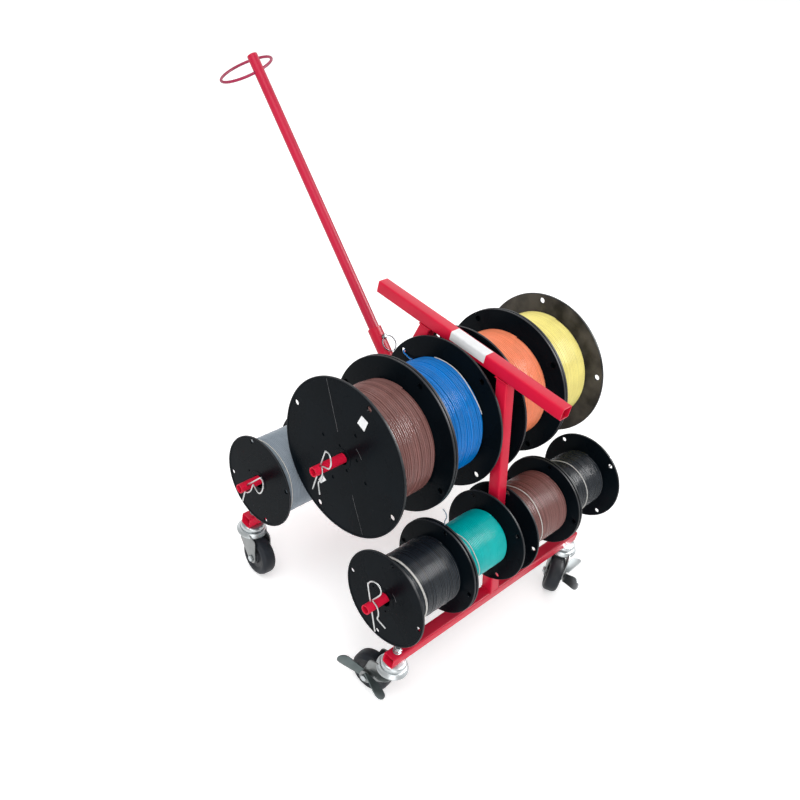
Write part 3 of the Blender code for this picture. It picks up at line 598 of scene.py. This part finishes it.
def make_spool(name, facts):
    """Turned spool with rounded rims, hub rings and lead holes, and its wound wire."""
    node = "spool_" + name
    low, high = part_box(node)
    centre = (low + high) / 2
    flange = (high.z - low.z) / 2
    large = flange > 100 * MM
    half = (high.x - low.x) / 2
    wall = 4 * MM if large else 3.5 * MM
    drum = 50 * MM if large else 32 * MM
    bore = 10 * MM if large else 12 * MM
    inner = half - wall
    soft = 0.9 * MM
    hub = 17 * MM if large else 19 * MM
    recess = 0.8 * MM
    turned = [(bore, half), (hub, half), (hub + 0.6 * MM, half - recess), (flange - 4.2 * MM, half - recess),
              (flange - 3.4 * MM, half), (flange - soft, half), (flange - 0.26 * soft, half - 0.26 * soft),
              (flange, half - soft), (flange, inner + soft), (flange - 0.26 * soft, inner + 0.26 * soft),
              (flange - soft, inner), (drum + 2 * MM, inner), (drum, inner - 2 * MM)]
    spool = add(node + "_body", lathe(node, mirrored(turned), 128 if large else 96), BLACK_PLASTIC, node,
                centre, turn_to(X))
    circle, size = (120.5, 5.2) if large else (73.5, 4.2)
    tools = [hole_tool("rim_hole", size * MM, 2 * half + 10 * MM, about_axle(centre, circle, facts["hole"] + 90 * i), X)
             for i in range(4)]
    for sign in (-1, 1):
        for radius, angle, size in LARGE_MARKS if large else SMALL_MARKS:
            middle = about_axle(centre, radius, angle) + X * sign * half
            tools.append(hole_tool("hub_hole", size * MM, 4 * MM, middle, X, 16))
    cut_holes(spool, tools)
    spool.data.materials.append(RIM_HIGHLIGHT_PLASTIC)
    spool.data.materials.append(YELLOW_BOUNCE_PLASTIC)
    for face in spool.data.polygons:
        out = face.center - centre
        reach = math.hypot(out.y, out.z)
        if reach > flange - 1.1 * MM:
            face.material_index = 1            # rim lighter than the face: painted highlight
        elif name == "yellow_large" and out.x > 0 and face.normal.x < -0.9:
            face.material_index = 2            # inner face of the far flange, which looks towards the camera, lit brownish: painted light bounced off the yellow wire
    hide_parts(node)
    if name == "brown_large":
        dress_near_flange(node, centre, half, recess)
    if name == "black_front":
        # Pale arc by the hub: a painted highlight.
        arc = [about_axle(centre, 26, a) - X * (half - recess + 0.05 * MM) for a in (26, 36, 46, 58)]
        rod(node + "_arc", arc, 0.3 * MM, SEAM_AND_HIGHLIGHT, node, False, 6, 4)
    make_wire(name, facts, centre, inner, drum)


# Small blind moulding marks by the hub on both faces: radius, degrees from straight up towards -Y, hole radius
LARGE_MARKS = ((50.5, -74, 3.0), (21.4, -32, 2.6), (59.5, 15, 3.2), (32.5, 58, 2.8), (19.5, 139, 2.6),
               (48.5, -166, 3.0), (54.8, 99, 3.2))
SMALL_MARKS = ((22.5, 40, 1.8), (22.5, 160, 1.8), (27, 280, 2.0))


def dress_near_flange(node, centre, half, recess):
    """Moulding lines, a pale arc that is a painted highlight, and a blank square sticker on the face that looks towards
    the camera.
    """
    skin = centre - X * (half - recess + 0.05 * MM)
    # seam_0 and seam_1 are moulding seams; the arc is a painted highlight.
    for label, radius, steps, line in (("seam_0", 0.32, 1, ((130, -29.5), (44, -28))),
                                       ("seam_1", 0.22, 1, ((60, 146), (127, 146))),
                                       ("arc", 0.3, 4, ((42, 31), (43, 43), (44, 55)))):
        rod(f"{node}_{label}", [about_axle(skin, *spot) for spot in line], radius * MM, SEAM_AND_HIGHLIGHT, node,
            False, 6, steps)
    corners = [about_axle(skin, *spot) for spot in ((99.9, 10.6), (100.7, 19.2), (81.5, 21.3), (82, 9.3))]
    mesh = grid_patch("square_sticker", corners, -X * 0.2 * MM, 6, 0.2 * MM)
    add(node + "_blank_sticker", mesh, PAPER, node, smooth=40)


def grid_patch(name, corners, depth, steps, lift):
    """A thin sheet between four corners, with its edges lifted a little, given a thickness by depth."""
    a, b, c, d = corners
    points, faces = [], []
    for layer in (0, 1):
        for i in range(steps + 1):
            for j in range(steps + 1):
                u, v = i / steps, j / steps
                spot = (a * (1 - u) + b * u) * (1 - v) + (d * (1 - u) + c * u) * v
                curl = lift * (abs(2 * u - 1) ** 4 + abs(2 * v - 1) ** 4) / 2
                points.append(spot + depth * (1 + layer) + depth.normalized() * curl)
    n = (steps + 1) ** 2
    for i in range(steps):
        for j in range(steps):
            k = i * (steps + 1) + j
            quad = [k, k + 1, k + steps + 2, k + steps + 1]
            faces += [quad, [n + q for q in reversed(quad)]]
    return mesh_from(name, points, faces + rim_faces(steps, steps, n))


def rim_faces(rows, cols, layer):
    """Faces round the edge that join the two layers of a grid sheet."""
    border = list(range(cols + 1)) + [i * (cols + 1) + cols for i in range(1, rows + 1)]
    border += [rows * (cols + 1) + j for j in range(cols - 1, -1, -1)]
    border += [i * (cols + 1) for i in range(rows - 1, 0, -1)]
    faces = []
    for k, here in enumerate(border):
        there = border[(k + 1) % len(border)]
        faces.append([here, there, layer + there, layer + here])
    return faces


def make_wire(name, facts, centre, inner, drum):
    """The wound wire: a solid body of lower layers under one real helical outer layer."""
    node = "wire_" + name
    body = "spool_" + name
    finish = WIRES[facts["wire"]]
    along = turn_to(X)
    edge = 1.2 * MM
    pitch = facts["pitch"] * MM
    wire = pitch * 0.485
    outer = facts["radius"] * MM
    under = outer - 2 * wire * 0.92
    reach = inner - edge
    steps = 72
    core = [(under, reach * 0.985), (under, -reach * 0.985), (drum + 0.3 * MM, -reach), (drum + 0.3 * MM, reach)]
    add(node + "_layers", lathe(node + "_layers", core, steps), finish, body, centre, along)
    turns = int((2 * reach - 2 * wire) / pitch)
    travel = turns * pitch
    points = []
    count = turns * steps
    for i in range(count + 1):
        angle = 2 * math.pi * i / steps
        share = i / count
        height = -travel / 2 + travel * share
        lap = share * turns
        loose = 0.30 if facts["wire"] in STRANDED else 0.11
        slack = loose * (math.sin(7.3 * lap + 1.7) + 0.5 * math.sin(2.9 * lap + angle))
        droop = 0.5 * wire * (abs(2 * share - 1) ** 14)
        radius = outer - wire - wire * 0.25 + wire * slack - droop
        points.append(Vector((radius * math.cos(angle), radius * math.sin(angle), height)))
    place = Matrix.Translation(centre) @ along
    layer = rod(node + "_outer_layer", [place @ p for p in points], wire, finish, body, False, 8, 1)
    nodes = [node] + ([node + "_turns"] if node + "_turns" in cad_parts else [])
    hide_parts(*nodes)
    for k, tie in enumerate(facts.get("ties", [])):
        line = [about_axle(Vector((x * MM, centre.y, centre.z)), facts["radius"] + 0.7, angle) for x, angle in tie]
        bent = []
        for spot in smooth_path(line, 10):
            out = Vector((0, spot.y - centre.y, spot.z - centre.z)).normalized() * (outer + 0.5 * MM)
            bent.append(Vector((spot.x, centre.y + out.y, centre.z + out.z)))
        rod(f"{node}_tie_{k}", bent, 0.75 * MM, STRING, body, False, 8, 1)


def make_loose_ends():
    """The grey end that stands up between two front spools, and the blue end led into its rim hole."""
    y = CART_SHIFT - 141 * MM
    points = [Vector((-140.6 * MM, y + a * MM, z * MM))
              for a, z in ((-16, 298), (-6, 310), (-1, 322), (-2, 332), (3, 339), (9, 341))]
    rod("wire_green_front_end", points, 1.1 * MM, WIRES["grey"], "spool_green_front", False, 8, 6)
    middle = centre_of("spool_blue_large")
    far_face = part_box("spool_blue_large")[1].x
    points = [about_axle(Vector((far_face + x * MM, middle.y, middle.z)), radius, angle)
              for x, radius, angle in ((-12, 99.5, -50), (-9, 101.5, -54), (-7, 108, -57), (-6, 116, -59),
                                       (-3, 120.5, -59.5), (2, 120.5, -59.5))]
    rod("wire_blue_large_end", points, 1.3 * MM, WIRES["blue"], "spool_blue_large", False, 8, 6)


# ---------------------------------------------------------------- handle

def make_handle():
    # The pole takes a darker copy of the powder coat: painted shade.
    round_tube("handle_pole", HANDLE_FOOT + HANDLE_DIRECTION * 12 * MM, HANDLE_HEAD, HANDLE_RADIUS, 1.6 * MM,
               "handle_tube", 48, POLE_RED_SHADED)
    pole = bpy.data.objects["handle_pole"]
    pin_at = HANDLE_FOOT + HANDLE_DIRECTION * LOCK_PIN_AT
    yaw, tilt, roll = (math.radians(angle) for angle in RING_TURN)
    flat = X * math.cos(yaw) + HANDLE_DIRECTION * math.sin(yaw)
    through = flat * math.cos(tilt) + HANDLE_UP * math.sin(tilt)
    outward = (HANDLE_UP - through * HANDLE_UP.dot(through)).normalized()
    outward = outward * math.cos(roll) + through.cross(outward) * math.sin(roll)
    cut_holes(pole, [hole_tool("pin_hole", 3.5 * MM, THROUGH, pin_at, HANDLE_UP),
                     hole_tool("ring_hole", 3.5 * MM, 30 * MM, RING_THROUGH - outward * 0.4 * MM, through)])
    start = HANDLE_FOOT - HANDLE_DIRECTION * 8 * MM
    socket = round_tube("handle_socket_tube", start, HANDLE_FOOT + HANDLE_DIRECTION * SOCKET_LENGTH, SOCKET_RADIUS,
                        2.7 * MM, "handle_socket", 48)
    foot, head = leg_line(1)
    run = (head - foot).normalized()
    turn = turn_to(run, X)
    block = bpy.data.meshes.new("leg_block")
    shape = bmesh.new()
    bmesh.ops.create_cube(shape, size=1.0)
    bmesh.ops.scale(shape, vec=(60 * MM, TUBE + 0.6 * MM, 500 * MM), verts=shape.verts)
    shape.to_mesh(block)
    shape.free()
    block.transform(turn)
    block.transform(Matrix.Translation((foot + head) / 2))
    cut_holes(socket, [hole_tool("pin_hole", 3.5 * MM, THROUGH, pin_at, HANDLE_UP), block])
    square = Vector((0, run.z, -run.y))
    seat = []
    for i in range(28):
        angle = 2 * math.pi * i / 28
        ring = X * math.cos(angle) + HANDLE_UP * math.sin(angle)
        point = HANDLE_FOOT + ring * (SOCKET_RADIUS + 0.4 * MM)
        gap = (point - foot).dot(square) - TUBE / 2 - 0.5 * MM
        seat.append(point - HANDLE_DIRECTION * gap / HANDLE_DIRECTION.dot(square))
    weld_bead("socket_weld", seat, 1.8 * MM)
    hoop = []
    for i in range(96):
        angle = 2 * math.pi * i / 96
        hoop.append(RING_THROUGH - outward * RING_RADIUS
                    + (through * math.sin(angle) + outward * math.cos(angle)) * RING_RADIUS)
    # The hoop takes a darker copy of the powder coat: painted shade.
    ring = rod("handle_hoop", hoop, RING_ROD, HOOP_RED_SHADED, "cart_frame", True, 14, 1)
    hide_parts("handle_ring")
    make_lock_pin(pin_at)


def make_lock_pin(pin_at):
    """Headed pin down through socket and handle, with a split key ring through its head."""
    head_start = SOCKET_RADIUS + 0.6 * MM
    tail = -SOCKET_RADIUS - 5 * MM
    profile = mm(((0, 7.4), (2.6, 7.4), (3.9, 6.8), (4.4, 5.8), (4.4, 0.5), (4.0, 0), (3, 0)), head_start)
    profile += mm(((3, 2), (1.8, 0), (0, 0)), tail)
    pin = add("lock_pin_body", lathe("lock_pin", profile, 32, False), DULL_ZINC, "lock_pin", pin_at,
              turn_to(HANDLE_UP))
    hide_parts("lock_pin")
    centre = pin_at + X * 2.5 * MM - HANDLE_DIRECTION * 14.3 * MM + HANDLE_UP * (head_start + 4.6 * MM)
    for k, shift in enumerate((-0.6 * MM, 0.6 * MM)):
        loop = []
        for i in range(56):
            angle = 2 * math.pi * i / 56
            loop.append(centre + HANDLE_UP * shift
                        + (X * math.cos(angle) + HANDLE_DIRECTION * math.sin(angle)) * 14.5 * MM)
        rod(f"split_ring_{k}", loop, 0.68 * MM, RING_STEEL, "lock_pin", True, 8, 1)


# ---------------------------------------------------------------- casters

def make_caster(name, x_sign, y_sign, heading, braked):
    pivot = Vector((x_sign * CASTER_X, y_sign * RAIL_Y + CART_SHIFT, 0))
    angle = math.radians(heading)
    along = Vector((math.cos(angle), math.sin(angle), 0))
    across = Vector((-along.y, along.x, 0))
    hub = pivot + along * TRAIL + Z * WHEEL_RADIUS
    make_stem(name, pivot)
    make_fork(name, pivot, hub, along, across)
    make_wheel(name, hub, across)
    if braked:
        make_pedal(name, hub, along, across)


def hexagon(radius, low, high, chamfer):
    """A hex nut or bolt head with chamfered corners, standing on its axis."""
    rows = []
    for r, z in ((radius - chamfer, low), (radius, low + chamfer * 0.6), (radius, high - chamfer * 0.6),
                 (radius - chamfer, high)):
        rows.append([(r * math.cos(math.pi / 3 * i), r * math.sin(math.pi / 3 * i), z) for i in range(6)])
    points = [p for row in rows for p in row]
    faces = [list(range(5, -1, -1)), list(range(18, 24))]
    for j in range(3):
        faces += [[j * 6 + i, j * 6 + (i + 1) % 6, (j + 1) * 6 + (i + 1) % 6, (j + 1) * 6 + i] for i in range(6)]
    return mesh_from("hexagon", points, faces)


def make_stem(name, pivot):
    """Domed race cover under the rail, stud through it, and a washer and nut on top."""
    top = RAIL_LOW.z - GAP
    profile = mm(((0, 0), (17.6, 0), (19.6, -0.9), (21.0, -2.4), (21.8, -4.4), (22, -7.4), (21.4, -9.2), (20.4, -9.5),
                  (0, -9.5)), top)
    race = add("race_" + name, lathe("race", profile, 64, False), ZINC, "cart_frame", pivot)
    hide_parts("caster_stem_" + name)
    low = RAIL_TOP + GAP
    washer = mm(((5.2, 0), (7.6, 0), (7.8, 0.3), (7.6, 0.9), (5.2, 0.9)), low)
    add("washer_" + name, lathe("washer", washer, 40), ZINC, "cart_frame", pivot)
    add("nut_" + name, hexagon(7.2 * MM, low + 1.0 * MM, low + 6.2 * MM, 0.8 * MM), ZINC, "cart_frame", pivot,
        smooth=25)
    stud = mm(((0, 9.6), (4.2, 9.6), (4.9, 8.9)), low) + [(4.9 * MM, RAIL_LOW.z), (0, RAIL_LOW.z)]
    add("stud_" + name, lathe("stud", stud, 24, False), ZINC, "cart_frame", pivot)


def make_fork(name, pivot, hub, along, across):
    """Pressed crown with a flared lip, a side plate on each side of the wheel, and the axle bolt."""
    body = "caster_" + name
    top = RAIL_LOW.z - 10.1 * MM
    profile = mm(((0, 0), (20.5, 0), (22.9, -0.8), (24.1, -2.6), (25.1, -4.6), (26.9, -6.2), (27.5, -7), (27.5, -8.6),
                  (27, -9.2), (25.9, -9.2), (25.1, -8), (22.9, -6.4), (21.5, -3), (0, -3)), top)
    cup = add("fork_crown_" + name, lathe("crown", profile, 72, False), ZINC, body, pivot)
    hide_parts("caster_fork_" + name)
    for sign in (-1, 1):
        turn = Matrix((along, Z, across * -sign)).transposed().to_4x4()
        label = "in" if sign < 0 else "out"
        add(f"fork_plate_{name}_{label}", fork_plate(top), DULL_ZINC, body, pivot, turn, 30)
    head = hexagon(6.2 * MM, 0, 3.6 * MM, 0.6 * MM)
    add("axle_head_" + name, head, ZINC, body, hub - across * 18.4 * MM, turn_to(-across), 25)
    bolt = mm(((0, 19.6), (3.6, 19.6), (4, 19), (4, -18), (0, -18)))
    add("axle_bolt_" + name, lathe("bolt", bolt, 24, False), ZINC, body, hub, turn_to(across))


def fork_plate(top):
    """One side plate: broad under the crown, tapering to a rounded eye at the axle."""
    left = [(-12.6, 0.8), (-12.8, -4), (-11.4, -12), (-9, -21), (-5, -26.4), (2.5, -33)]
    eye = []
    for i in range(9):
        a = math.radians(225 + 150 * i / 8)
        eye.append((TRAIL / MM + 10.5 * math.cos(a), (WHEEL_RADIUS - top) / MM + 3.5 + 10.5 * math.sin(a)))
    right = [(39, -24), (36, -9), (34, -5), (30, -2.4), (23, -0.6), (17, 0.8)]
    outline = [(x * MM, top + (z - 3.5) * MM) for x, z in left + eye + right]
    points = []
    for depth in (FORK_PLATE_AT, FORK_PLATE_AT + FORK_PLATE_THICK):
        points += [(x, z, -depth) for x, z in outline]
    n = len(outline)
    faces = [list(range(n)), list(range(2 * n - 1, n - 1, -1))]
    faces += [[i, (i + 1) % n, n + (i + 1) % n, n + i] for i in range(n)]
    mesh = mesh_from("fork_plate", points, faces)
    shape = bmesh.new()
    shape.from_mesh(mesh)
    edges = [e for e in shape.edges if len(e.link_faces) == 2 and e.calc_face_angle() > math.radians(60)]
    bmesh.ops.bevel(shape, geom=edges, offset=0.9 * MM, segments=3, profile=0.5, affect="EDGES")
    shape.to_mesh(mesh)
    shape.free()
    return mesh


def make_wheel(name, hub, across):
    """Solid rubber tyre with round shoulders on a plastic hub."""
    body = "wheel_" + name
    tread = mm(((24, 11.6), (27.5, 13.6), (30.5, 13.4), (32.9, 12.3), (34.8, 10.6), (36, 8.2), (36.5, 5)))
    tread += [(WHEEL_RADIUS, 0)] + [(a, -b) for a, b in reversed(tread)] + mm(((22, -10.6), (22, 10.6)))
    tyre = add("tyre_" + name, lathe("tyre", tread, 96), RUBBER, body, hub, turn_to(across))
    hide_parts("caster_wheel_" + name)
    core = mirrored(mm(((4.6, 14), (11.5, 14), (12.6, 13.2), (13.4, 10), (21.6, 10), (22, 10.6))))
    add("hub_" + name, lathe("hub", core, 64), HUB_PLASTIC, body, hub, turn_to(across))


def make_pedal(name, hub, along, across):
    """Pressed rocker pedal on the axle's outer end, with a broad tongue at the front and at the back."""
    body = "brake_" + name
    start = FORK_PLATE_AT + FORK_PLATE_THICK + 1.6 * MM + 0.6 * MM
    centre = hub + across * start
    boss = mm(((4.4, 0), (11.4, 0), (12, 0.5), (12, 1.9), (11.2, 2.4), (4.4, 2.4)))
    plate = add("brake_boss_" + name, lathe("boss", boss, 48), DULL_ZINC, body, centre, turn_to(across))
    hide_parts("brake_pedal_" + name)
    for label, root, tip, width, roll in WINGS:
        base, end = ((along * a + Z * u + across * w) * MM for a, u, w in (root, tip))
        base += across * (start + 1.2 * MM - base.dot(across))
        run = (end - base).normalized()
        outward = (across - run * across.dot(run)).normalized()
        side = run.cross(outward) * math.cos(math.radians(roll)) + outward * math.sin(math.radians(roll))
        turn = Matrix.Translation(hub + base) @ Matrix((run, side, run.cross(side))).transposed().to_4x4()
        wing = wing_mesh((end - base).length, width * MM)
        wing.transform(turn)
        trim(wing, centre, across)
        # Front left pedal darker as painted shade; front right pedal in bright zinc as painted reflection of the pale
        # surroundings.
        finish = PEDAL_STEEL_SHADED if name == "front_left" else ZINC
        add(f"brake_wing_{label}_{name}", wing, finish, body, smooth=40)
    nut = hexagon(6.2 * MM, 2.6 * MM, 7.2 * MM, 0.7 * MM)
    add("brake_nut_" + name, nut, ZINC, body, centre, turn_to(across), 25)


def trim(mesh, point, across):
    """Cut off what a mesh has on the wheel's side of a plane and close the cut."""
    shape = bmesh.new()
    shape.from_mesh(mesh)
    cut = bmesh.ops.bisect_plane(shape, geom=shape.verts[:] + shape.edges[:] + shape.faces[:], plane_co=point,
                                 plane_no=across, clear_inner=True)
    rim = [part for part in cut["geom_cut"] if isinstance(part, bmesh.types.BMEdge)]
    if rim:
        bmesh.ops.holes_fill(shape, edges=rim, sides=0)
    shape.to_mesh(mesh)
    shape.free()


def wing_mesh(length, width):
    """A dished tongue of pressed steel, narrower at the boss and round at the tip."""
    thick = 2.0 * MM
    rows, cols = 18, 10
    points, faces = [], []
    for layer in (0, 1):
        for i in range(rows + 1):
            share = i / rows
            x = -4 * MM + (length + 4 * MM) * (1 - (1 - share) ** 1.6)
            tip = max(0.0, (x - (length - width / 2)) / (width / 2))
            half = width / 2 * (0.72 + 0.28 * min(1, share * 2)) * math.sqrt(max(0.0, 1 - tip * tip))
            half = max(half, 1.0 * MM)
            for j in range(cols + 1):
                y = half * (2 * j / cols - 1)
                cup = 1.2 * MM * (y / (width / 2)) ** 2
                points.append((x, y, cup + (thick / 2 if layer else -thick / 2)))
    n = (rows + 1) * (cols + 1)
    for i in range(rows):
        for j in range(cols):
            a = i * (cols + 1) + j
            b = a + cols + 1
            faces += [[a, a + 1, b + 1, b], [n + a, n + b, n + b + 1, n + a + 1]]
    return mesh_from("wing", points, faces + rim_faces(rows, cols, n))


# ---------------------------------------------------------------- stage, light and camera

FLOOR_GLOW = 0.42       # added where the camera or a reflection sees the floor, so that it shows white
SKY_LIGHT = 0.62        # what the world gives the object

def make_stage():
    bpy.ops.mesh.primitive_plane_add(size=30)
    floor = bpy.context.object
    floor.name = "floor"
    material = bpy.data.materials.new("floor")
    material.use_nodes = True
    nodes, links = material.node_tree.nodes, material.node_tree.links
    shader = nodes["Principled BSDF"]
    for socket, value in (("Base Color", (0.93, 0.93, 0.93, 1)), ("Roughness", 0.9), ("Specular IOR Level", 0.1)):
        shader.inputs[socket].default_value = value
    glow = new_node(nodes, "Emission", Color=(1, 1, 1, 1))
    rays = nodes.new("ShaderNodeLightPath")
    pick, more, gain = (nodes.new("ShaderNodeMath") for _ in range(3))
    pick.operation = more.operation = "MAXIMUM"
    gain.operation = "MULTIPLY"
    links.new(rays.outputs["Is Camera Ray"], pick.inputs[0])
    links.new(rays.outputs["Is Glossy Ray"], pick.inputs[1])
    links.new(pick.outputs[0], more.inputs[0])
    links.new(rays.outputs["Is Transmission Ray"], more.inputs[1])
    gain.inputs[1].default_value = FLOOR_GLOW
    links.new(more.outputs[0], gain.inputs[0])
    links.new(gain.outputs[0], glow.inputs["Strength"])
    both = nodes.new("ShaderNodeAddShader")
    links.new(shader.outputs[0], both.inputs[0])
    links.new(glow.outputs[0], both.inputs[1])
    links.new(both.outputs[0], nodes["Material Output"].inputs["Surface"])
    floor.data.materials.append(material)
    world = bpy.data.worlds.new("studio")
    bpy.context.scene.world = world
    world.use_nodes = True
    nodes, links = world.node_tree.nodes, world.node_tree.links
    sky = nodes["Background"]
    sky.inputs["Color"].default_value = (1, 1, 1, 1)
    rays = nodes.new("ShaderNodeLightPath")
    blend = new_node(nodes, "MapRange", To_Min=SKY_LIGHT, To_Max=1.0)
    links.new(rays.outputs["Is Camera Ray"], blend.inputs["Value"])
    links.new(blend.outputs[0], sky.inputs["Strength"])
    lamps = (("key", (-1.4, -0.4, 2.6), 30, 1.8), ("fill", (-1.7, -2.3, 1.0), 20, 1.8),
             ("back", (1.8, 1.2, 1.8), 14, 1.6), ("sheen", (1.6, -1.35, 1.95), 130, 1.35))
    for label, spot, power, size in lamps:
        light = bpy.data.lights.new(label, "AREA")
        light.energy = power
        light.size = size
        lamp = bpy.data.objects.new(label, light)
        bpy.context.scene.collection.objects.link(lamp)
        lamp.visible_diffuse = label != "sheen"
        lamp.location = spot
        lamp.rotation_euler = (Vector((0, -0.1, 0.3)) - Vector(spot)).to_track_quat("-Z", "Y").to_euler()


def make_camera():
    """The photograph's view: place, turn and lens fitted to the tubes, axles and flanges."""
    data = bpy.data.cameras.new("camera")
    camera = bpy.data.objects.new("camera", data)
    bpy.context.scene.collection.objects.link(camera)
    bpy.context.scene.camera = camera
    right, down, ahead = (Vector((0.7126, -0.6785, 0.1783)), Vector((-0.3274, -0.5465, -0.7708)),
                          Vector((0.6205, 0.4909, -0.6116)))
    turn = Matrix((right, -down, -ahead)).transposed()
    camera.rotation_euler = turn.to_euler()
    camera.location = (-1080.9 * MM, -702.2 * MM + CART_SHIFT, 1331.7 * MM)
    data.sensor_width = 36
    data.lens = 42.27
    data.shift_x = 0.0315
    data.shift_y = 0.0210
    data.clip_start, data.clip_end = 0.05, 60


make_camera()
make_frame()
make_sticker()
make_axles()
for spool_name, spool_facts in SPOOLS.items():
    make_spool(spool_name, spool_facts)
make_loose_ends()
make_handle()
for caster in CASTERS:
    make_caster(*caster)
make_stage()
bpy.context.scene.view_settings.view_transform = "Standard"
